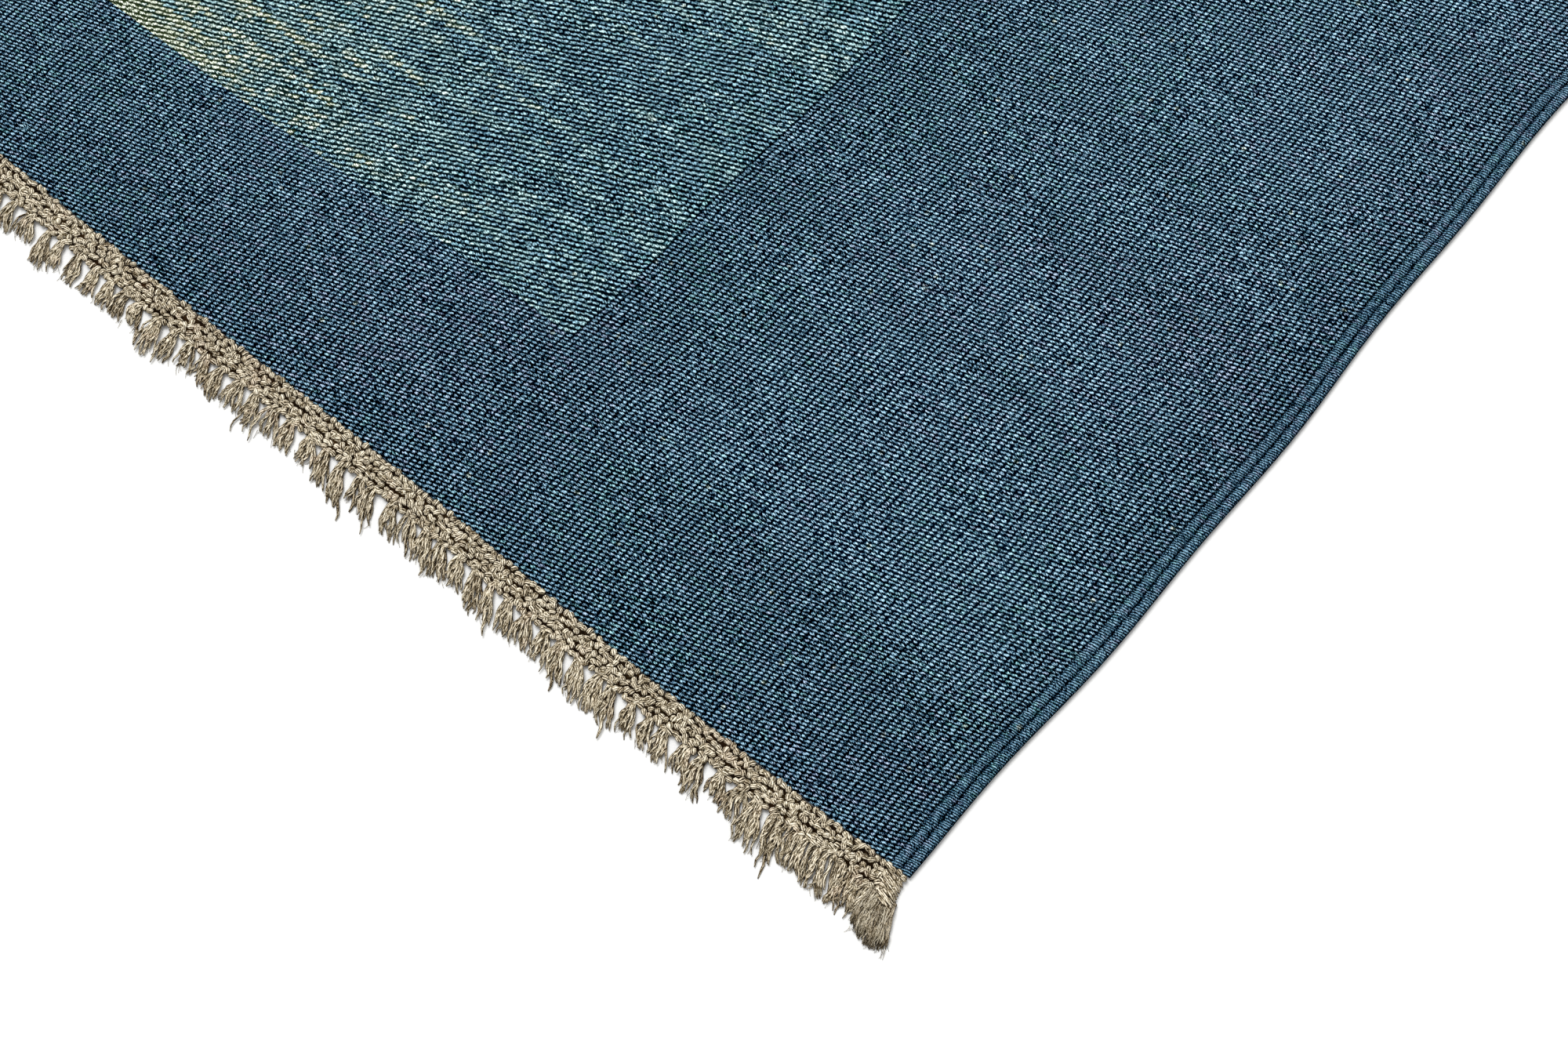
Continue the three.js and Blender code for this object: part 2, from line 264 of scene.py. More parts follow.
class NodeBench:
    """Adds nodes to one tree, fed by numbers, colours or wires."""

    def __init__(self, tree):
        self.tree = tree

    def node(self, kind, feeds=(), **settings):
        """A new node with its settings made and its inputs fed, by (input, value) pairs."""
        made = self.tree.nodes.new(kind)
        for key, value in settings.items():
            setattr(made, key, value)
        for key, value in feeds:
            self.feed(made.inputs[key], value)
        return made

    def wire(self, output, kind, feeds=(), **settings):
        """One output of a new node."""
        return Wire(self, self.node(kind, feeds, **settings).outputs[output])

    def feed(self, socket, value):
        if isinstance(value, Wire):
            self.tree.links.new(value.socket, socket)
        else:
            socket.default_value = value

    def math(self, operation, *values):
        return self.wire(0, "ShaderNodeMath", enumerate(values), operation=operation)

    def most(self, first, second):
        return self.math("MAXIMUM", first, second)

    def split(self, vector):
        return [Wire(self, part) for part in self.node("ShaderNodeSeparateXYZ", [(0, vector)]).outputs]

    def join(self, x, y, z=0.0):
        return self.wire(0, "ShaderNodeCombineXYZ", enumerate((x, y, z)))

    def noise(self, vector, scale, detail=2.0, roughness=0.5):
        return self.wire("Fac", "ShaderNodeTexNoise", [
            ("Vector", vector), ("Scale", scale), ("Detail", detail), ("Roughness", roughness)])

    def white(self, x, y, seed=0.0):
        return self.wire("Value", "ShaderNodeTexWhiteNoise", [("Vector", self.join(x, y, seed))])

    def spots(self, vector, scale):
        """Distance to the nearest of a scatter of points, and that point's three random numbers."""
        made = self.node("ShaderNodeTexVoronoi", [("Vector", vector), ("Scale", scale)],
                         voronoi_dimensions="2D")
        return Wire(self, made.outputs["Distance"]), self.split(Wire(self, made.outputs["Color"]))

    def step(self, value, low, high, to_low=0.0, to_high=1.0):
        """A smooth change from to_low to to_high as the value goes from low to high."""
        return self.wire(0, "ShaderNodeMapRange", enumerate((value, low, high, to_low, to_high)),
                         interpolation_type="SMOOTHSTEP")

    def near(self, distance, reach, most=1.0):
        """A smooth rise from 0 at this reach to its most where the distance is 0."""
        return self.step(distance, reach, 0.0, 0.0, most)

    def cells(self, value):
        """The whole number below a value, and the value's place above it from -1 to 1."""
        below = math.floor(value)
        return below, (value - below) * 2.0 - 1.0

    def dome(self, value):
        """The height of a half circle: 1 where the value is 0, and 0 from 1 outward."""
        return self.math("SQRT", self.most(1.0 - abs(value) ** 2.0, 0.0))

    def mix(self, factor, first, second):
        """Two colours mixed."""
        return self.wire(2, "ShaderNodeMix", [(0, factor), (6, first), (7, second)], data_type="RGBA")

    def blend(self, factor, first, second):
        """Two numbers mixed."""
        return self.wire(0, "ShaderNodeMix", [(0, factor), (2, first), (3, second)], data_type="FLOAT")

    def paint_fibre_light(self, colour, bright, depth, painted_highlight):
        """Painted light among dyed fibres, put into the base colour: it returns deeper in colour from the
        gaps as painted shade, paler from the tops as painted highlight.

        bright is 1 where the colour shows as it is. depth is how fast the colour deepens as
        bright falls, and painted_highlight how much painted light the tops add beyond their paler colour.
        """
        power = bright ** -depth
        added = self.most(bright, 1.0) ** painted_highlight
        return self.join(*(channel ** power * added for channel in self.split(colour)))

    def attribute(self, name):
        return self.wire("Fac", "ShaderNodeAttribute", attribute_name=name)

    def bump(self, height, distance, strength=1.0, normal=None):
        feeds = [("Height", height), ("Distance", distance), ("Strength", strength)]
        if normal is not None:
            feeds.append(("Normal", normal))
        return self.wire("Normal", "ShaderNodeBump", feeds)


def new_group(name, inputs, outputs):
    """A shader node group with named sockets: its bench, the wires given to it, what it puts out."""
    group = bpy.data.node_groups.new(name, "ShaderNodeTree")
    for label, kind, default in inputs:
        socket = group.interface.new_socket(name=label, in_out="INPUT", socket_type=f"NodeSocket{kind}")
        if default is not None:
            socket.default_value = default
    for label in outputs:
        group.interface.new_socket(name=label, in_out="OUTPUT", socket_type="NodeSocketFloat")
    bench = NodeBench(group)
    given = {socket.name: Wire(bench, socket) for socket in bench.node("NodeGroupInput").outputs}
    return bench, given, bench.node("NodeGroupOutput").inputs


def use_group(bench, name, **values):
    made = bench.node("ShaderNodeGroup", node_tree=bpy.data.node_groups[name])
    for label, value in values.items():
        bench.feed(made.inputs[label], value)
    return {socket.name: Wire(bench, socket) for socket in made.outputs}


def build_weave_group():
    """Weft floats on ribs: lens-shaped, aslant, each rib's set half a float from its neighbours'.

    Weave counts ribs along x and floats along y. A slant of a quarter joins the floats of
    neighbouring ribs into ridges. Dip is how far a float falls at its ends, between two ribs.
    Row numbers the floats along a rib.
    """
    bench, given, put = new_group(
        "Weft Floats",
        [("Weave", "Vector", None), ("Slant", "Float", 0.25), ("Wobble", "Float", 0.5),
         ("Unevenness", "Float", 0.3), ("Dip", "Float", 0.4)],
        ("Height", "Tint", "Row"))
    x, y, _ = bench.split(given["Weave"])
    slow = bench.noise(given["Weave"], 0.17, 1.0) - 0.5
    quick = bench.noise(given["Weave"], 0.73, 1.0) - 0.5
    sideways = bench.noise(bench.join(y, x, 40.0), 0.45, 1.0) - 0.5
    y = y + given["Wobble"] * (slow * 2.4 + quick)
    x = x + given["Wobble"] * sideways
    rib, across = bench.cells(x)
    half_float = bench.math("FLOORED_MODULO", rib, 2.0) * 0.5
    y = y + half_float - across * given["Slant"]
    row, along = bench.cells(y)
    end = abs(across) ** 2.2
    fat = (bench.white(rib, row, 3.0) - 0.5) * given["Unevenness"] + 0.95 - end * 0.28
    bench.feed(put["Height"], bench.dome(along / fat) * (1.0 - end * given["Dip"]))
    bench.feed(put["Tint"], bench.white(rib, row, 8.0))
    bench.feed(put["Row"], row)


def build_cord_group():
    """Close picks that cross a selvedge cord a little aslant. A cord takes up two ribs."""
    bench, given, put = new_group(
        "Cord Picks", [("Weave", "Vector", None), ("Picks", "Float", 1.6)], ("Height", "Tint"))
    x, y, _ = bench.split(given["Weave"])
    sway = bench.noise(given["Weave"], 0.35, 1.0) * 1.2
    turn = y * given["Picks"] + x * -0.45 + sway
    pick, along = bench.cells(turn)
    cord, across = bench.cells(x * 0.5)
    bench.feed(put["Height"], bench.dome(along) * (abs(across) ** 4.0 * -0.45 + 1.0))
    bench.feed(put["Tint"], bench.white(cord, pick))


def build_fibre_group():
    """Fine hairs of spun wool, drawn out along a line turned by Angle in the plane of x and y."""
    bench, given, put = new_group(
        "Wool Fibres",
        [("Vector", "Vector", None), ("Scale", "Float", 1400.0), ("Stretch", "Float", 0.2),
         ("Angle", "Float", 0.0)],
        ("Height", "Tint"))
    turned = bench.wire(0, "ShaderNodeVectorRotate", [
        ("Vector", given["Vector"]), ("Angle", given["Angle"])], rotation_type="Z_AXIS")
    x, y, z = bench.split(turned)
    drawn = bench.join(x * given["Stretch"], y, z)
    bench.feed(put["Height"], bench.noise(drawn, given["Scale"], 1.4, 0.6))
    bench.feed(put["Tint"], bench.noise(given["Vector"], given["Scale"] * 0.3))


def new_material(name, dials):
    """A material with its shader set: the material, its bench and the shader's inputs."""
    material = bpy.data.materials.new(name)
    material.use_nodes = True
    shader = material.node_tree.nodes["Principled BSDF"]
    for dial, value in dials.items():
        shader.inputs[dial].default_value = value
    return material, NodeBench(material.node_tree), shader.inputs


def blue_cloth_material():
    """Heathered indigo borders, a streaked lighter field, slubs, flecks and selvedge cords, with painted
    shade between the floats and painted highlights on them.
    """
    colours = bpy.context.scene.kilim_colours
    cloth = bpy.context.scene.kilim_cloth
    cord_ribs, border_ribs, last_rib = rib_counts(cloth)
    material, bench, shader = new_material("Blue Kilim Weave", DULL_WOOL)
    weave = bench.wire(0, "ShaderNodeUVMap", uv_map="Weave")
    place = bench.wire("Object", "ShaderNodeTexCoord")
    x, y, _ = bench.split(place)
    count, _, _ = bench.split(weave)
    field = bench.attribute("field")
    from_end = cloth.length / 2 - abs(y)
    from_side = cloth.width / 2 - abs(x)
    seams = (abs(count - border_ribs), abs(count - (last_rib - border_ribs)))
    to_seam = bench.math("MINIMUM", *seams)
    middle = bench.step(abs(x), 0.52, 0.28)
    woven = use_group(bench, "Weft Floats", Weave=weave, Unevenness=field * 0.10 + 0.20,
                      Wobble=field * 0.12 + 0.24, Dip=field * -0.18 + 0.44)
    row = woven["Row"]

    def drift(per_x, across, per_across, seed, detail=3.0, roughness=0.6):
        """Noise with its own frequency along the weft, and another against rows or metres."""
        return bench.noise(bench.join(x * per_x, across * per_across, seed), 1.0, detail, roughness)

    # Yarn colours run along the weft, so each row of floats has long streaks of its own. The
    # borders are deeper near the rug's edges and beside the field
    fade = drift(24.0, row, 0.9, 0.0) * 0.24 + drift(1.6, row, 0.045, 0.0) * 0.56 + 0.13
    rim = bench.most(bench.near(from_end, 0.105, 0.19), bench.near(from_side, 0.07, 0.14))
    fade = fade - bench.most(rim, bench.near(to_seam, 30.0, 0.11))
    border = bench.mix(bench.step(fade, 0.30, 0.78), colours.border_deep, colours.border_light)

    # Single yarns and broad patches turn greener or redder than the blue
    green = drift(130.0, row, 1.7, 9.0, 2.0, 0.5) + (drift(4.0, y, 5.0, 61.0, 4.0) - 0.5) * 0.7
    border = bench.mix(bench.step(green, 0.53, 0.78, 0.0, 0.75), border, colours.teal)
    border = bench.mix(bench.step(green, 0.46, 0.26, 0.0, 0.75), border, colours.violet)

    # The field fades from blue at its sides to broken cream streaks towards its middle, where
    # single floats are lighter or darker than their neighbours. Its first rows are lightest
    lightness = drift(5.0, row, 0.42, 21.0, 3.0, 0.55) * 0.70 + drift(26.0, row, 0.85, 33.0, 2.0) * 0.36
    patch = drift(1.9, y, 5.5, 47.0, 2.0, 0.5)
    first_rows = bench.step(from_end, 0.155, 0.106, 0.02, 0.20)
    lightness = lightness + (woven["Tint"] - 0.5) * 0.11 + (patch - 0.42) * (middle * 0.80 + 0.12)
    lightness = lightness + middle * first_rows + bench.near(to_seam, 55.0, 0.015)
    streaks = bench.mix(bench.step(green, 0.46, 0.72, 0.0, 0.75), colours.field_mid, colours.teal)
    streaks = bench.mix(bench.step(lightness, 0.53, 0.67), streaks, colours.field_light)
    streaks = bench.mix(bench.step(lightness, 0.67, 0.82), streaks, colours.cream)
    colour = bench.mix(field, border, streaks)

    # Slubs: soft lumps of thicker yarn, common in the field and rare in the borders
    slub_far, (pick, size, tone) = bench.spots(bench.join(x * 0.7, y), 52.0)
    reach = size * 0.12 + 0.10
    slub = (pick > field * -0.14 + 0.994) * bench.step(slub_far, reach, reach * 0.35)
    slub_colour = bench.mix(bench.step(tone, 0.55, 0.8), colours.field_light, colours.cream)
    colour = bench.mix(slub * 0.30, colour, slub_colour)

    # Flecks: short undyed hairs caught in single floats
    fleck_far, (pick, tone, _) = bench.spots(place, 150.0)
    fleck = (pick > 0.978) * bench.step(fleck_far, 0.26, 0.12)
    fleck_colour = bench.mix(bench.step(tone, 0.45, 0.55), colours.cream, colours.olive)
    colour = bench.mix(fleck * 0.5, colour, fleck_colour)

    # Selvedge cords take the first and last few ribs
    in_cord = bench.most(count < cord_ribs, count > last_rib - cord_ribs)
    cords = use_group(bench, "Cord Picks", Weave=weave)
    height = bench.blend(in_cord, woven["Height"], cords["Height"])
    tint = bench.blend(in_cord, woven["Tint"], cords["Tint"])

    # Where the field meets a side border the two wefts turn back, leaving a shallow groove
    groove = bench.step(to_seam, 0.26, 0.06) * (from_end > 0.104)
    groove = groove * bench.step(bench.noise(weave, 0.4), 0.35, 0.6)
    height = bench.most(height * (groove * -0.35 + 1.0), slub * 0.74)

    # Painted light: the gaps between the floats are painted in shade, as light hardly reaches them, and
    # their hairs get painted highlights along their twist
    fibres = use_group(bench, "Wool Fibres", Vector=place, Scale=2800.0, Stretch=0.26, Angle=0.26)
    lit = height ** 1.5 * 1.20 + (fibres["Height"] - 0.5) * 3.4
    bright = bench.step(lit, field * 0.10 + 0.57, 1.64, 0.13, field * 0.35 + 3.35)
    # Painted shade darkens the cords by a quarter; each float's or pick's own tint varies its tone
    bright = bright * (in_cord * -0.25 + 1.0) * (tint * 0.18 + 0.91)
    bench.feed(shader["Base Color"], bench.paint_fibre_light(colour, bright, depth=0.70, painted_highlight=0.45))
    rounded = bench.bump(height, 0.0010)
    bench.feed(shader["Normal"], bench.bump(fibres["Height"], 0.00015, 0.8, rounded))
    return material


def undyed_wool_material():
    """Taupe plied wool, its tone drifting from grey to warm beige from yarn to yarn, with painted shade
    and highlights on its strands.
    """
    colours = bpy.context.scene.kilim_colours
    dials = {**DULL_WOOL, "Sheen Weight": 0.05}
    material, bench, shader = new_material("Undyed Taupe Wool", dials)
    place = bench.wire("Object", "ShaderNodeTexCoord")
    along, around, _ = bench.split(bench.wire(0, "ShaderNodeUVMap", uv_map="UVMap"))
    shade, strands, turns = (bench.attribute(trait) for trait in TRAITS)
    knot = strands > YARN_STRANDS
    turn = along * turns
    ply = around * strands + turn
    fibres = use_group(bench, "Wool Fibres", Vector=place, Scale=1700.0, Stretch=0.6)

    # A yarn's shade, its own tone and in the fringe also painted shade of the pile, sets its colour
    # between the dark and the light wool
    tone = shade * 0.6 + bench.noise(place, 55.0, 3.0, 0.6) * 0.6 + (fibres["Tint"] - 0.5) * 0.9
    colour = bench.mix(bench.step(tone, 0.12, 0.88), colours.undyed_dark, colours.undyed_light)
    warm = bench.step(bench.noise(place, 95.0, 2.0, 0.6), 0.54, 0.74, 0.0, 0.55)
    colour = bench.mix(warm, colour, colours.undyed_warm)

    # Painted light: strands stand out round a yarn as painted highlights, with painted dark streaks
    # between them and painted shade near the floor
    streak = bench.noise(bench.join(ply * 2.3, along * 2.5 + turn, shade * 53.0), 1.0, 2.0, 0.6)
    rounded = abs(bench.math("SINE", ply * math.pi)) ** 0.6
    lit = (streak - 0.5) * 2.5 + rounded * 0.68 + (fibres["Height"] - 0.5) * 1.3
    bright = bench.step(lit, 0.04, 1.0, 0.10, 2.25)
    low_shade = knot * -0.35 + 0.80
    bright = bright * bench.step(bench.split(place)[2], 0.0010, 0.0032, low_shade, 1.10)

    # Painted shade: each yarn and each knot darkens towards its sides, and a knot also towards its ends
    upward = abs(bench.math("SINE", around * math.tau))
    from_middle = abs(along * 2.0 - 1.0)
    bright = bright * bench.step(upward, 0.0, 0.60, 0.34, 1.10)
    bright = bright * (knot * bench.step(from_middle, 0.60, 1.0) * -0.60 + 1.0)

    # The warps under the knots have no strands, and one even shade
    bright = bench.most(bright, bench.near(strands, 1.0, 0.24))
    bench.feed(shader["Base Color"], bench.paint_fibre_light(colour, bright, depth=0.74, painted_highlight=0.54))
    plied = bench.bump(rounded, 0.0004)
    bench.feed(shader["Normal"], bench.bump(fibres["Height"], 0.00015, 0.8, plied))
    return material


def mesh_of(name, shell):
    mesh = bpy.data.meshes.new(name)
    shell.to_mesh(mesh)
    shell.free()
    return mesh


def in_scene(name, data):
    made = bpy.data.objects.new(name, data)
    bpy.context.scene.collection.objects.link(made)
    return made


def finished_piece(name, mesh, look, build_look, node):
    """Puts a mesh in the scene with its material, slot and body, in place of a solid's node.

    Pieces share a material: look is its name, and build_look makes it for the first of them.
    """
    piece = in_scene(name, mesh)
    mesh.materials.append(bpy.data.materials.get(look) or build_look())
    for polygon in mesh.polygons:
        polygon.use_smooth = True
    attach(piece, BODY)
    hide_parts(node)


def closed_sheet(columns, rows, place):
    """A closed shell of two grids that share their rim, as a bmesh.

    place(column, row, side) gives each point: side 1 is the face, 0 the back, and both give
    the same point on the rim. The bmesh keeps column and row as vertex layers.
    """
    shell = bmesh.new()
    bmesh.ops.create_grid(shell, x_segments=columns, y_segments=rows, size=1.0)
    column_layer, row_layer, side_layer = (
        shell.verts.layers.int.new(name) for name in ("column", "row", "side"))
    for vert in shell.verts:
        vert[column_layer] = round((vert.co.x + 1) / 2 * columns)
        vert[row_layer] = round((vert.co.y + 1) / 2 * rows)
        vert[side_layer] = 1
    copied = bmesh.ops.duplicate(shell, geom=shell.verts[:] + shell.edges[:] + shell.faces[:])["geom"]
    for element in copied:
        if isinstance(element, bmesh.types.BMVert):
            element[side_layer] = 0
    bmesh.ops.reverse_faces(shell, faces=[f for f in copied if isinstance(f, bmesh.types.BMFace)])
    rim = []
    for vert in shell.verts:
        column, row = vert[column_layer], vert[row_layer]
        vert.co = place(column, row, vert[side_layer])
        if column in (0, columns) or row in (0, rows):
            rim.append(vert)
    bmesh.ops.remove_doubles(shell, verts=rim, dist=1e-6)
    return shell


def spread(start, end, grid):
    """Places between start and end, neither of them counted, about one grid step apart."""
    steps = round((end - start) / grid)
    return [start + (end - start) * i / steps for i in range(1, steps)]


def mirrored_places(total, first, margin, grid):
    """Places across a whole run: the first ones given, a grid with a place at each margin, and
    the first ones mirrored.
    """
    low = [*first, *spread(first[-1], margin, grid), margin]
    return [*low, *spread(margin, total - margin, grid), *(total - place for place in reversed(low))]


def mirrored_table(stations, total, count):
    """A table of (place, count) rows for between(), and its mirror image at a run's far end."""
    return (*stations, *((total - place, count - value) for place, value in reversed(stations)))


def bent_wave(place, beside, turn, reach, bend):
    """A wave along one direction, whose crests wander as they run in the other."""
    return math.sin(place * turn + reach * math.sin(beside * bend))


class KILIM_OT_cloth(Operator):
    """Lay the woven cloth: borders, lighter field and selvedge cords in one sheet"""

    bl_idname = "kilim.cloth"
    bl_label = "Cloth"

    # Share of a cord's width at each column across it
    CORD_SHARES = (0.0, 0.03, 0.12, 0.28, 0.5, 0.72, 0.88)
    # Thickness where a cord meets the next one or the weave, as a share of the cord's
    CORD_WEB = 0.62
    # Distance in from an end edge of each row of its rounded rim
    END_RIM = (0.0, 0.0002, 0.0007, 0.0016, 0.003)
    # The cloth's slow buckles die out over this distance from every edge. They are waves across
    # and along: each one's turn per metre, and the reach and turn per metre of its own bends
    FLAT_EDGE = 0.03
    BUCKLES = ((31, 2.1, 9), (23, 1.7, 12))
    LEAST_HEIGHT = 0.00005

    def execute(self, context):
        cloth = context.scene.kilim_cloth
        self.shift = rug_shift()
        self.cord_zone = cloth.cord_width * cloth.cords
        self.side_margin = self.cord_zone + cloth.side_ribs * cloth.rib
        cords = [cloth.cord_width * (number + share) for number in range(cloth.cords)
                 for share in self.CORD_SHARES]
        self.across = mirrored_places(cloth.width, [*cords, self.cord_zone], self.side_margin, cloth.grid)
        self.along = mirrored_places(cloth.length, self.END_RIM, cloth.end_margin, cloth.grid)
        shell = closed_sheet(len(self.across) - 1, len(self.along) - 1, self.place)
        self.chart_weave(shell, cloth)
        mesh = mesh_of("kilim_cloth", shell)
        finished_piece("kilim_cloth", mesh, "Blue Kilim Weave", blue_cloth_material, "cloth")
        return {"FINISHED"}

    def stretch(self, place, total, margin, low, high, along):
        """Where a place across a nominal run falls between the edges named low and high, whose
        margins both stray. along is the place on those edges.
        """
        start, end = edge(low, along), edge(high, along)
        return between((
            (0, start), (margin, start + margin + wander(MARGIN_WAVES[low], along)),
            (total - margin, end - margin - wander(MARGIN_WAVES[high], along)), (total, end)), place)

    def place(self, column, row, side):
        cloth = bpy.context.scene.kilim_cloth
        across, along = self.across[column], self.along[row]
        x = self.stretch(across, cloth.width, self.side_margin, "left", "right", along - cloth.length / 2)
        y = self.stretch(along, cloth.length, cloth.end_margin, "front", "back", x)
        return Vector((x, y, self.height(across, along, side))) + self.shift

    def height(self, x, y, side):
        """Face and back of the weave: cords at the sides, rounded rims at the ends."""
        cloth = bpy.context.scene.kilim_cloth
        from_side = min(x, cloth.width - x)
        from_end = min(y, cloth.length - y)
        middle = cloth.cord_height / 2
        if from_side < self.cord_zone:
            share = (from_side / cloth.cord_width) % 1.0
            half = middle * math.sqrt(max(0.0, 1 - (2 * share - 1) ** 2))
            if from_side > cloth.cord_width / 2:
                half = max(half, self.CORD_WEB * middle)
        else:
            half = cloth.thickness / 2
            inward = min(1.0, (from_side - self.cord_zone) / cloth.rib)
            middle += (cloth.thickness / 2 - middle) * inward
        rim = self.END_RIM[-1]
        if from_end < rim:
            half *= math.sqrt(max(0.0, 1 - (1 - from_end / rim) ** 2))
        if not side:
            return max(middle - half, self.LEAST_HEIGHT)
        swell = min(1.0, from_side / self.FLAT_EDGE, from_end / self.FLAT_EDGE)
        across, along = self.BUCKLES
        buckle = bent_wave(x, y, *across) * bent_wave(y, x, *along)
        return middle + half + cloth.relief * swell * buckle

    def chart_weave(self, shell, cloth):
        """Writes the rib and float count of every face corner, and marks the field's faces."""
        column_layer, row_layer = (shell.verts.layers.int[name] for name in ("column", "row"))
        field_layer = shell.faces.layers.float.new("field")
        weave = shell.loops.layers.uv.new("Weave")
        cord_ribs, border_ribs, last_rib = rib_counts(cloth)
        ribs = mirrored_table(((0, 0), (self.cord_zone, cord_ribs), (self.side_margin, border_ribs)),
                              cloth.width, last_rib)
        inner = cloth.length - 2 * cloth.end_margin
        border_floats, field_floats = (
            mirrored_table(((0, 0), (cloth.end_margin, cloth.end_floats)), cloth.length,
                           2 * cloth.end_floats + inner / pitch)
            for pitch in (cloth.weft_float, cloth.field_float))
        first, last = (self.across.index(x) for x in (self.side_margin, cloth.width - self.side_margin))
        low, high = (self.along.index(y) for y in (cloth.end_margin, cloth.length - cloth.end_margin))
        for face in shell.faces:
            columns = [vert[column_layer] for vert in face.verts]
            rows = [vert[row_layer] for vert in face.verts]
            in_field = min(columns) >= first and max(columns) <= last
            in_field = in_field and min(rows) >= low and max(rows) <= high
            face[field_layer] = float(in_field)
            floats = field_floats if in_field else border_floats
            for loop, column, row in zip(face.loops, columns, rows):
                loop[weave].uv = (between(ribs, self.across[column]), between(floats, self.along[row]))


class EndLayout:
    """One end of the rug in its own frame: y = 0 on the cloth's end line, +Y pointing out."""

    def __init__(self, end):
        self.end = end
        self.turn = end["turn"]
        self.fringe = bpy.context.scene.kilim_fringe
        self.half_length = bpy.context.scene.kilim_cloth.length / 2
        self.shift = rug_shift()
        ends = sorted(self.turn * edge(side, self.turn * self.half_length) for side in ("left", "right"))
        self.left = ends[0] + self.fringe.band_inset
        self.right = ends[1] - self.fringe.band_inset

    def inner_edge(self, x):
        """The band's edge beside the cloth."""
        return self.fringe.gap + self.turn * wander(EDGE_WAVES[self.end["name"]], self.turn * x)

    def outer_edge(self, x):
        return self.inner_edge(x) + self.fringe.band_width

    def to_rug(self, x, y, z):
        return Vector((self.turn * x, self.turn * (self.half_length + y), z)) + self.shift

    def lock_plans(self):
        """Root, lean, length and half width of every lock, as the solids have them before they
        are slimmed to lie apart. A few yarns close the gap beside each corner's lock. near is
        how strongly a corner pulls on a lock, and bow how far a lock bows sideways.
        """
        fringe, end = self.fringe, self.end
        small = fringe.locks - 2
        pitch = (self.right - self.left - 2 * fringe.corner_zone) / small
        plans = []

        def plan(root, lean, length, half, corner=False):
            plans.append(SimpleNamespace(
                root=root, lean=lean, length=length, half=half, corner=corner, near=0.0, bow=0.0))

        for i in range(small):
            stray, tilt = (2 * uneven(i, trait, end["seed"]) - 1 for trait in (1, 2))
            sway = end["sway"] * math.sin(SWAY_STEP * i + end["seed"])
            plan(self.left + fringe.corner_zone + pitch * (i + 0.5) + fringe.root_jitter * stray,
                 end["lean"] + sway + fringe.lean_jitter * tilt,
                 fringe.least_length + fringe.length_spread * uneven(i, 3, end["seed"]),
                 fringe.least_half + fringe.half_spread * uneven(i, 4, end["seed"]))
        for side, root in ((-1, self.left + fringe.corner_root), (1, self.right - fringe.corner_root)):
            plan(root, side * fringe.corner_lean, fringe.corner_length, fringe.corner_half, corner=True)
            plan(root - side * fringe.corner_gap, end["lean"] / 2, fringe.least_length, fringe.least_half)
        return plans


def undyed_piece(layout, name, mesh):
    """One end's piece of undyed wool, which stands in for that end's solid."""
    finished_piece(f"{name}_{layout.end['name']}", mesh, "Undyed Taupe Wool", undyed_wool_material,
                   layout.end["node"])


def lay_yarns(layout, name, yarns, sides, flatness=1.0):
    """A piece of tapering yarns, each a dict: route, a list of (point, radius), and its traits."""
    ring = bpy.data.curves.new("section", "CURVE")
    ring.dimensions = "2D"
    spline = ring.splines.new("POLY")
    spline.points.add(sides - 1)
    for number, point in enumerate(spline.points):
        angle = math.tau * number / sides
        point.co = (math.cos(angle), flatness * math.sin(angle), 0, 1)
    spline.use_cyclic_u = True
    section = in_scene("section", ring)
    curve = bpy.data.curves.new(name, "CURVE")
    curve.dimensions = "3D"
    curve.twist_mode = "Z_UP"
    curve.bevel_mode = "OBJECT"
    curve.bevel_object = section
    curve.use_fill_caps = True
    for yarn in yarns:
        spline = curve.splines.new("POLY")
        spline.points.add(len(yarn["route"]) - 1)
        for point, (place, radius) in zip(spline.points, yarn["route"]):
            point.co = (*place, 1)
            point.radius = radius
    holder = in_scene(name, curve)
    graph = bpy.context.evaluated_depsgraph_get()
    mesh = bpy.data.meshes.new_from_object(holder.evaluated_get(graph), depsgraph=graph)
    mesh.name = name
    for part, data in ((holder, curve), (section, ring)):
        bpy.data.objects.remove(part)
        bpy.data.curves.remove(data)
    mark_yarns(mesh, yarns, sides)
    undyed_piece(layout, name, mesh)


def mark_yarns(mesh, yarns, sides):
    """Closes the yarns' ends and writes each one's traits on its points.

    The mesh starts with the caps of the last yarn and ends with the body of the last.
    """
    shell = bmesh.new()
    shell.from_mesh(mesh)
    shell.verts.ensure_lookup_table()
    layers = {trait: shell.verts.layers.float.new(trait) for trait in TRAITS}
    caps = 2 * sides * len(yarns)
    index = caps
    for number, yarn in enumerate(yarns):
        cap = caps - 2 * sides * (number + 1)
        body = range(index, index + sides * len(yarn["route"]))
        for point in (*body, *range(cap, cap + 2 * sides)):
            for trait, layer in layers.items():
                shell.verts[point][layer] = yarn[trait]
        index = body.stop
    if index != len(shell.verts):
        raise RuntimeError(f"{mesh.name}: {len(shell.verts)} points in the mesh, {index} in the yarns")
    bmesh.ops.remove_doubles(shell, verts=shell.verts[:], dist=1e-6)
    bmesh.ops.recalc_face_normals(shell, faces=shell.faces[:])
    shell.to_mesh(mesh)
    shell.free()


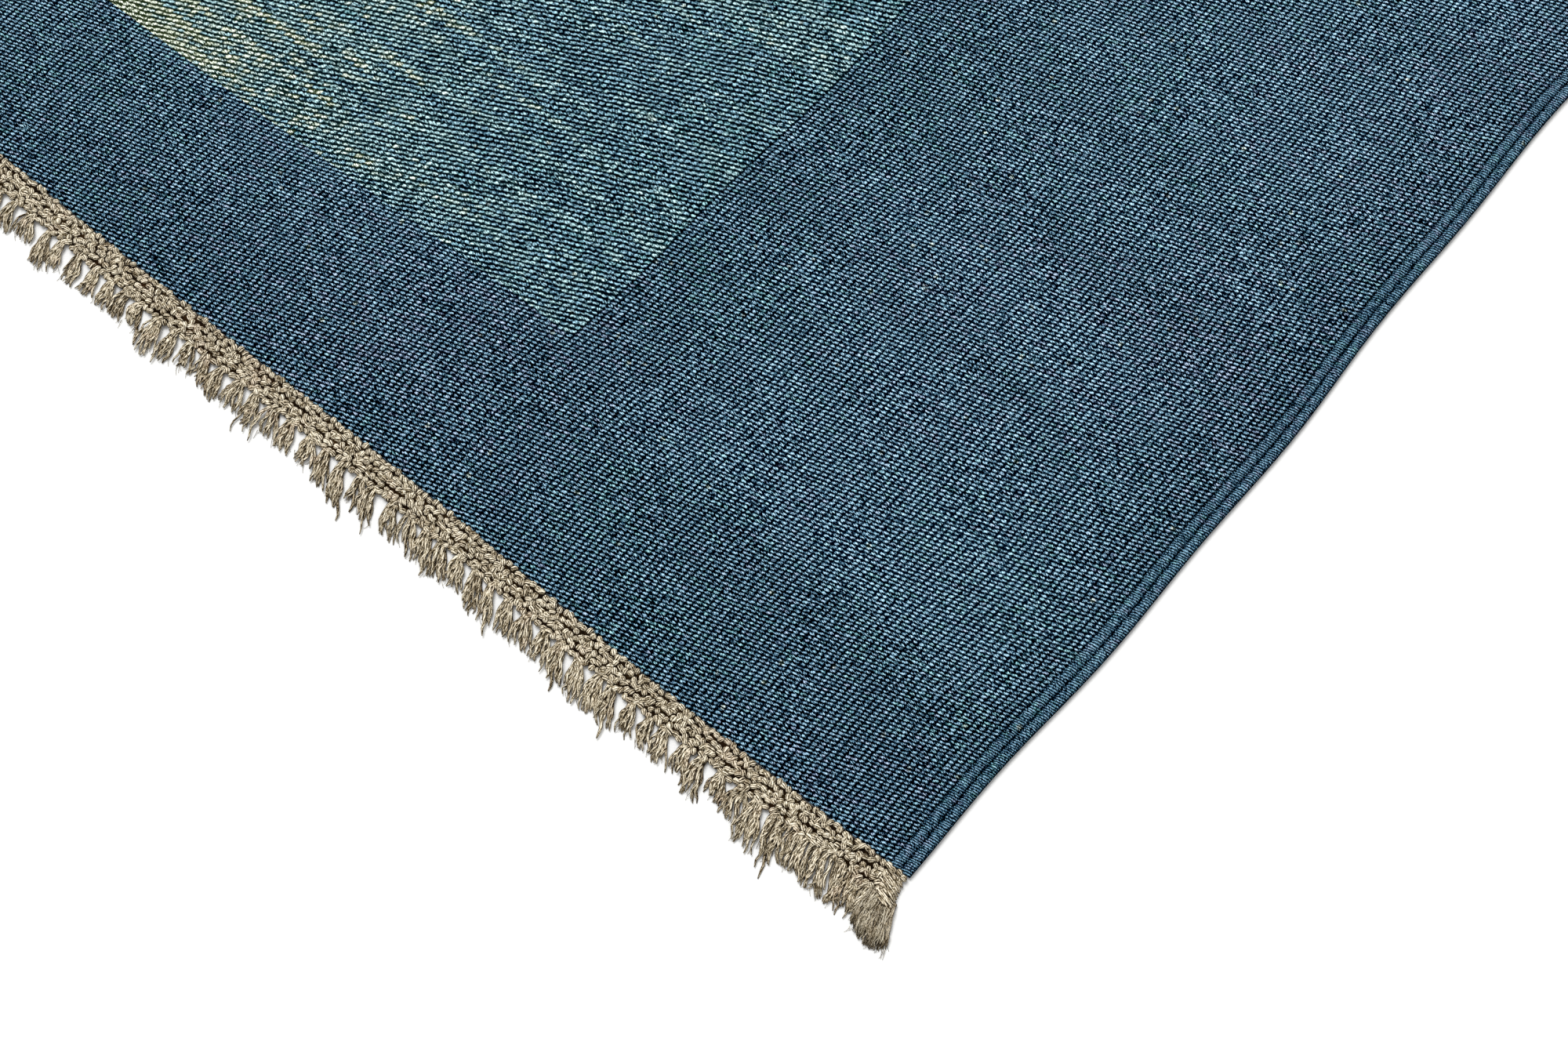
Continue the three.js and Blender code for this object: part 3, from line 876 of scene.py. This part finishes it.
class KILIM_OT_bands(Operator):
    """Tie the knotted bands of undyed warp ends across both ends of the cloth"""

    bl_idname = "kilim.bands"
    bl_label = "End Bands"

    BASE_HEIGHT = 0.0022
    BASE_STEP = 0.012
    BASE_INSET = 0.0011
    BASE_RIM = 0.0008
    BASE_LIFT = 0.00005
    # The first row of knots laps over the cloth's rounded edge by this much
    LAP = 0.0003
    KNOT_SEED = 11
    KNOT_SIDES = 7
    KNOT_FLATNESS = 0.78
    # How far a knot strays along its row, as a share of the pitch, across it, and upward
    ROW_STRAY = 0.18
    CROSS_STRAY = 0.0009
    LIFT = 0.0002
    # A knot's mean turn and its spread in degrees, and how knots differ as shares
    KNOT_TURN = (-8, 48)
    KNOT_LENGTHS = (0.88, 1.06)
    KNOT_GIRTHS = (0.92, 1.06)
    KNOT_SHADES = (0.20, 0.75)
    KNOT_STRANDS = (7, 8, 9)
    KNOT_WINDS = (0.5, 2.4)
    # Along a knot: share of its half length, share of its radius, rise of its middle line
    KNOT_ARCH = ((-1.0, 0.42, 0.0015), (-0.72, 0.82, 0.0019), (0.0, 1.0, 0.0022), (0.72, 0.82, 0.0019),
                 (1.0, 0.42, 0.0015))

    def execute(self, context):
        for end in ENDS:
            layout = EndLayout(end)
            self.lay_base(layout)
            self.tie_knots(layout)
        return {"FINISHED"}

    def lay_base(self, layout):
        """The warps under the knots, which close the band's underside."""
        depth = layout.fringe.band_width - self.BASE_INSET
        left, right = layout.left + self.BASE_INSET, layout.right - self.BASE_INSET
        rows = (0.0, self.BASE_RIM, depth / 2, depth - self.BASE_RIM, depth)
        columns = round((right - left) / self.BASE_STEP)

        def place(column, row, side):
            x = left + (right - left) * column / columns
            rim = column in (0, columns) or row in (0, len(rows) - 1)
            z = self.BASE_HEIGHT / 2 if rim else self.BASE_HEIGHT * side + self.BASE_LIFT
            return layout.to_rug(x, layout.inner_edge(x) + rows[row], z)

        shell = closed_sheet(columns, len(rows) - 1, place)
        bmesh.ops.recalc_face_normals(shell, faces=shell.faces[:])
        undyed_piece(layout, "band_base", mesh_of("band_base", shell))

    def tie_knots(self, layout):
        chance = random.Random(self.KNOT_SEED + layout.end["seed"])
        fringe = layout.fringe
        row_width = fringe.band_width / fringe.band_rows
        half_length = fringe.knot_length / 2
        count = round((layout.right - layout.left) / fringe.knot_pitch)
        pitch = (layout.right - layout.left) / count
        knots = []
        for row in range(fringe.band_rows):
            offset = 0.5 * (row % 2)
            for number in range(count + row % 2):
                stray = chance.uniform(-self.ROW_STRAY, self.ROW_STRAY)
                x = layout.left + pitch * (number + 0.5 - offset + stray)
                x = min(max(x, layout.left + half_length), layout.right - half_length)
                y = layout.inner_edge(x) + row_width * (row + 0.5) - self.LAP * (row == 0)
                y += chance.uniform(-self.CROSS_STRAY, self.CROSS_STRAY)
                knots.append(self.knot(layout, x, y, chance))
        lay_yarns(layout, "band_knots", knots, self.KNOT_SIDES, self.KNOT_FLATNESS)

    def knot(self, layout, x, y, chance):
        fringe = layout.fringe
        angle = math.radians(chance.gauss(*self.KNOT_TURN))
        half_length = fringe.knot_length / 2 * chance.uniform(*self.KNOT_LENGTHS)
        radius = fringe.knot_radius * chance.uniform(*self.KNOT_GIRTHS)
        lift = chance.uniform(-self.LIFT, self.LIFT)
        route = []
        for share, girth, height in self.KNOT_ARCH:
            out = half_length * share
            point = layout.to_rug(x + out * math.cos(angle), y + out * math.sin(angle), height + lift)
            route.append((point, radius * girth))
        return {"route": route, "shade": chance.uniform(*self.KNOT_SHADES),
                "strands": chance.choice(self.KNOT_STRANDS),
                "turns": chance.choice((-1, 1)) * chance.uniform(*self.KNOT_WINDS)}


class KILIM_OT_fringe(Operator):
    """Hang the short fringe of plied yarns from both end bands"""

    bl_idname = "kilim.fringe"
    bl_label = "Fringe"

    YARN_SEED = 29
    YARN_SIDES = 4
    STEPS = 9
    FLOOR = 0.0001
    # A plain lock and a corner's: height of the pile of yarns, their girth as a share, how far
    # they stray from their lanes, how far their tips splay, the strands seen in a yarn and
    # their turns as a share of the yarn's own, how round the lock's end is, and its hairs
    PLAIN = SimpleNamespace(
        pile=0.0021, girth=1.0, stray=0.16, splay=0.0012, strands=3, turns=1.4, rounding=0.0, hairs=7)
    CORNER = SimpleNamespace(
        pile=0.0028, girth=0.61, stray=0.064, splay=0.0003, strands=4, turns=0.5, rounding=0.24, hairs=34)
    # How the yarns of a lock differ in girth, as shares
    GIRTHS = (0.75, 1.30)
    # Sideways waves of a yarn: their reach and their length
    CRIMP = (0.0003, 0.0009)
    CRIMP_LENGTH = (0.006, 0.013)
    # How long the longest yarn is, and how much shorter the shortest, as shares of the lock
    LONGEST = 1.06
    SHORTER = 0.34
    # A yarn tapers past this share of its length, by this much at its tip
    TAPER_FROM = 0.7
    TAPER = 0.6
    # How the yarns of a lock fan out: share of its length, share of its half width
    BRUSH = ((0, 0.46), (0.2, 0.66), (0.5, 1.05), (1, 1.25))
    POINTED_BRUSH = ((0, 0.84), (0.4, 1.02), (0.75, 0.84), (1, 0.42))
    CORNER_BRUSH = ((0, 0.74), (0.35, 0.88), (0.72, 1.12), (1, 1.16))
    # How far from a corner its pull on the locks is felt: they are fuller by this share at the
    # corner, longer by this share, darker by this share, and pointed where the pull is strong
    CORNER_REACH = 0.16
    FULLNESS = 0.55
    LONGER = 0.14
    DARKER = 0.35
    POINTED = 0.575
    # How the locks differ in width and length, as shares, and in root, in metres
    WIDTHS = (0.80, 1.25)
    LENGTHS = (0.74, 1.03)
    ROOT_STRAY = 0.0010
    # Waves of light and dark across a corner's lock
    BUNDLES = 7.5
    # How far a lock bows sideways at its middle
    BOW = 0.0014
    # One yarn in so many strays out past the others, by these shares
    STRAYS = 34
    STRAY_LENGTHS = (1.1, 1.6)
    # The yarns that bind a corner's lock. They reach past the band's end by the first of
    # WRAP_REACH for the innermost and by the second for the last
    WRAPS = 9
    WRAP_REACH = (0.0006, 0.0046)
    WRAP_WIDTH = 0.0125
    WRAP_WIDTHS = (0.75, 1.05)
    WRAP_STEP = 0.0015
    WRAP_STRAY = 0.0003
    WRAP_TILT = 0.0016
    WRAP_GIRTH = 0.00095
    WRAP_HEIGHT = 0.0010
    WRAP_ARCH = 0.0024
    # A hair leaves its lock at this share of the lock's length, as high above it as HAIR_LIFTS,
    # and its tip swings aside by up to HAIR_SWING of its own length
    HAIR_LEAVES = (0.45, 0.92)
    HAIR_LIFTS = (0.0004, 0.0022)
    HAIR_LENGTHS = (0.002, 0.0048)
    HAIR_SWING = 0.7
    HAIR_RADIUS = 0.00017
    HAIR_SIDES = 3
    HAIR_STEPS = 4

    def execute(self, context):
        for end in ENDS:
            layout = EndLayout(end)
            chance = random.Random(self.YARN_SEED + end["seed"])
            yarns, hairs = [], []
            for plan in layout.lock_plans():
                count = layout.fringe.corner_yarns if plan.corner else self.vary(layout, plan, chance)
                kind = self.CORNER if plan.corner else self.PLAIN
                yarns.extend(self.yarn(layout, plan, kind, lane / (count - 1), chance)
                             for lane in range(count))
                hairs.extend(self.hair(layout, plan, chance) for _ in range(kind.hairs))
            for side in (-1, 1):
                yarns.extend(self.wrap(layout, side, chance))
            lay_yarns(layout, "fringe_yarns", yarns, self.YARN_SIDES)
            lay_yarns(layout, "fringe_hairs", hairs, self.HAIR_SIDES)
        return {"FINISHED"}

    def vary(self, layout, plan, chance):
        """Makes one lock differ from the others, and returns how many yarns it has."""
        from_corner = min(plan.root - layout.left, layout.right - plan.root)
        near = max(0.0, 1 - from_corner / self.CORNER_REACH)
        full = 1 + self.FULLNESS * near
        plan.near = near
        plan.bow = chance.uniform(-self.BOW, self.BOW)
        plan.half *= full * chance.uniform(*self.WIDTHS)
        plan.length *= chance.uniform(*self.LENGTHS) + self.LONGER * near
        plan.root += chance.uniform(-self.ROOT_STRAY, self.ROOT_STRAY)
        return round(layout.fringe.yarns * full)

    def lean(self, plan, inside):
        """How far a lock has leant sideways at this distance from its root."""
        return plan.lean * (inside / LEAN_REACH) ** LEAN_BEND

    def yarn(self, layout, plan, kind, lane, chance):
        """One plied yarn of a lock; lane runs from 0 to 1 across the lock."""
        fringe = layout.fringe
        shape = self.POINTED_BRUSH if plan.near > self.POINTED else self.BRUSH
        shape = self.CORNER_BRUSH if plan.corner else shape
        radius = fringe.yarn_radius * kind.girth * chance.uniform(*self.GIRTHS)
        lane = 2 * lane - 1 + chance.uniform(-kind.stray, kind.stray)
        level = chance.random()
        reach = plan.length * (self.LONGEST - self.SHORTER * chance.random() ** 1.6)
        reach *= 1 - kind.rounding * lane * lane
        if not plan.corner and chance.randrange(self.STRAYS) == 0:
            reach *= chance.uniform(*self.STRAY_LENGTHS)
        splay = chance.gauss(0, kind.splay)
        crimp = chance.uniform(*self.CRIMP)
        crimp_length = chance.uniform(*self.CRIMP_LENGTH)
        phase = chance.uniform(0, math.tau)
        start = -fringe.root_depth
        route = []
        for step in range(self.STEPS + 1):
            share = step / self.STEPS
            out = start + (reach - start) * share
            inside = max(0.0, out + fringe.root_depth)
            along = min(1.0, inside / (plan.length + fringe.root_depth))
            x = plan.root + self.lean(plan, inside) + plan.bow * math.sin(math.pi * along)
            x += (plan.half * between(shape, along) - radius * 0.8) * lane + splay * along * along
            x += crimp * math.sin(math.tau * out / crimp_length + phase) * min(1.0, 0.3 + along)
            past = max(0.0, share - self.TAPER_FROM) / (1 - self.TAPER_FROM)
            girth = radius * (1.0 - self.TAPER * past ** 2)
            # The pile rises past the root and sinks to half its height at the tips
            z = self.FLOOR + girth + kind.pile * level * (1 - 0.5 * along) * min(1.0, 0.35 + 4 * along)
            route.append((layout.to_rug(x, layout.outer_edge(plan.root) + out, z), girth))

        # The upper yarns of a lock are lighter and the lower ones darker, as painted shade of the pile,
        # and a corner's lie in light and dark bundles
        shade = (0.25 + 0.55 * level) * chance.uniform(0.6, 1.0) * (1 - self.DARKER * plan.near)
        if plan.corner:
            shade = 0.64 * level * (0.55 + 0.45 * math.sin(self.BUNDLES * lane + plan.root))
        return {"route": route, "shade": shade, "strands": kind.strands,
                "turns": kind.turns * (reach - start) / fringe.yarn_turn}

    def wrap(self, layout, side, chance):
        """The yarns that run along the band's end and bind the corner's lock where it leaves."""
        end = layout.left if side < 0 else layout.right
        first, last = self.WRAP_REACH
        bound = []
        for number in range(self.WRAPS):
            y = layout.outer_edge(end) + self.WRAP_STEP * (number - self.WRAPS + 2)
            y += chance.uniform(-self.WRAP_STRAY, self.WRAP_STRAY)
            outer = first + (last - first) * (number / (self.WRAPS - 1)) ** 1.3
            width = self.WRAP_WIDTH * chance.uniform(*self.WRAP_WIDTHS)
            route = []
            for step in range(self.STEPS + 1):
                share = step / self.STEPS
                arch = math.sin(math.pi * share)
                girth = self.WRAP_GIRTH * (0.4 + 0.6 * arch ** 0.5)
                rise = self.WRAP_HEIGHT + self.WRAP_ARCH * arch ** 0.6 + girth * 0.2
                x = end + side * (outer - width * share)
                route.append((layout.to_rug(x, y - self.WRAP_TILT * (share - 0.5), rise), girth))
            bound.append({"route": route, "shade": chance.uniform(0.1, 0.7), "strands": 3,
                          "turns": self.WRAP_WIDTH / layout.fringe.yarn_turn})
        return bound

    def hair(self, layout, plan, chance):
        """One loose hair that frays out of a lock near its tip."""
        leave = plan.length * chance.uniform(*self.HAIR_LEAVES)
        length = chance.uniform(*self.HAIR_LENGTHS)
        side = chance.uniform(-1, 1)
        swing = chance.uniform(-self.HAIR_SWING, self.HAIR_SWING)
        lift = chance.uniform(*self.HAIR_LIFTS)
        route = []
        for step in range(self.HAIR_STEPS + 1):
            share = step / self.HAIR_STEPS
            out = leave + length * share
            inside = out + layout.fringe.root_depth
            width = plan.half * between(self.BRUSH, min(1.0, inside / plan.length))
            x = plan.root + self.lean(plan, inside) + side * width * 0.9 + swing * length * share * share
            z = self.FLOOR + self.HAIR_RADIUS + lift * (1 - share)
            point = layout.to_rug(x, layout.outer_edge(plan.root) + out, z)
            route.append((point, self.HAIR_RADIUS * (1.1 - 0.6 * share)))
        return {"route": route, "shade": chance.uniform(0.3, 1.0), "strands": 1, "turns": 0}


class KILIM_OT_stage(Operator):
    """Set the pale floor, the soft light and the camera at the photograph's angle"""

    bl_idname = "kilim.stage"
    bl_label = "Stage"

    FLOOR_LOOK = {"Base Color": (0.86, 0.86, 0.85, 1), "Roughness": 0.9, "Specular IOR Level": 0.1}
    KEY_FALL = (0.55, -0.22, -1.0)
    # Width of the key light as seen from the rug, in degrees, which softens its shadows
    KEY_WIDTH = 35

    def execute(self, context):
        stage = context.scene.kilim_stage
        self.set_camera(context, stage)
        self.set_floor(stage)
        self.set_light(context, stage)
        return {"FINISHED"}

    def set_camera(self, context, stage):
        cloth = context.scene.kilim_cloth
        corner = Vector((cloth.width / 2, -cloth.length / 2, 0)) + rug_shift()
        right, up = Vector(stage.view_right), Vector(stage.view_up)
        back = right.cross(up).normalized()
        turn = Matrix((right, up, back)).transposed().to_quaternion()
        data = bpy.data.cameras.new("camera")
        data.lens = stage.lens
        camera = in_scene("camera", data)
        camera.location = corner + Vector(stage.view_from)
        camera.rotation_mode = "QUATERNION"
        camera.rotation_quaternion = turn
        context.scene.camera = camera

    def set_floor(self, stage):
        shell = bmesh.new()
        bmesh.ops.create_grid(shell, x_segments=1, y_segments=1, size=stage.floor_size / 2)
        floor = in_scene("floor", mesh_of("floor", shell))
        floor.data.materials.append(new_material("Pale Floor", self.FLOOR_LOOK)[0])

    def set_light(self, context, stage):
        key = bpy.data.lights.new("key", "SUN")
        key.energy = stage.sun
        key.angle = math.radians(self.KEY_WIDTH)
        lamp = in_scene("key", key)
        lamp.rotation_euler = Vector(self.KEY_FALL).to_track_quat("-Z", "Y").to_euler()
        world = bpy.data.worlds.new("studio")
        world.use_nodes = True
        background = world.node_tree.nodes["Background"]
        background.inputs["Color"].default_value = (1, 1, 1, 1)
        background.inputs["Strength"].default_value = stage.sky
        context.scene.world = world
        context.scene.view_settings.view_transform = "Standard"


class KILIM_PT_panel(Panel):
    """Lists the rug's pieces and their sizes"""

    bl_idname = "KILIM_PT_panel"
    bl_label = "Kilim Rug"
    bl_space_type = "VIEW_3D"
    bl_region_type = "UI"
    bl_category = "Kilim"

    def draw(self, context):
        for step in STEPS:
            self.layout.operator(step.bl_idname)
        for group in SETTINGS:
            settings = getattr(context.scene, group)
            box = self.layout.box()
            for name in settings.__annotations__:
                box.prop(settings, name)


STEPS = (KILIM_OT_stage, KILIM_OT_cloth, KILIM_OT_bands, KILIM_OT_fringe)
SETTINGS = {
    "kilim_cloth": KilimClothSettings,
    "kilim_fringe": KilimFringeSettings,
    "kilim_colours": KilimColourSettings,
    "kilim_stage": KilimStageSettings,
}


def register():
    for kind in (*SETTINGS.values(), *STEPS, KILIM_PT_panel):
        bpy.utils.register_class(kind)
    for name, kind in SETTINGS.items():
        setattr(bpy.types.Scene, name, PointerProperty(type=kind))


def unregister():
    for name in SETTINGS:
        delattr(bpy.types.Scene, name)
    for kind in reversed((*SETTINGS.values(), *STEPS, KILIM_PT_panel)):
        bpy.utils.unregister_class(kind)


def main():
    register()
    for build in (build_weave_group, build_cord_group, build_fibre_group):
        build()
    for step in STEPS:
        group, name = step.bl_idname.split(".")
        getattr(getattr(bpy.ops, group), name)()


if __name__ == "__main__":
    main()
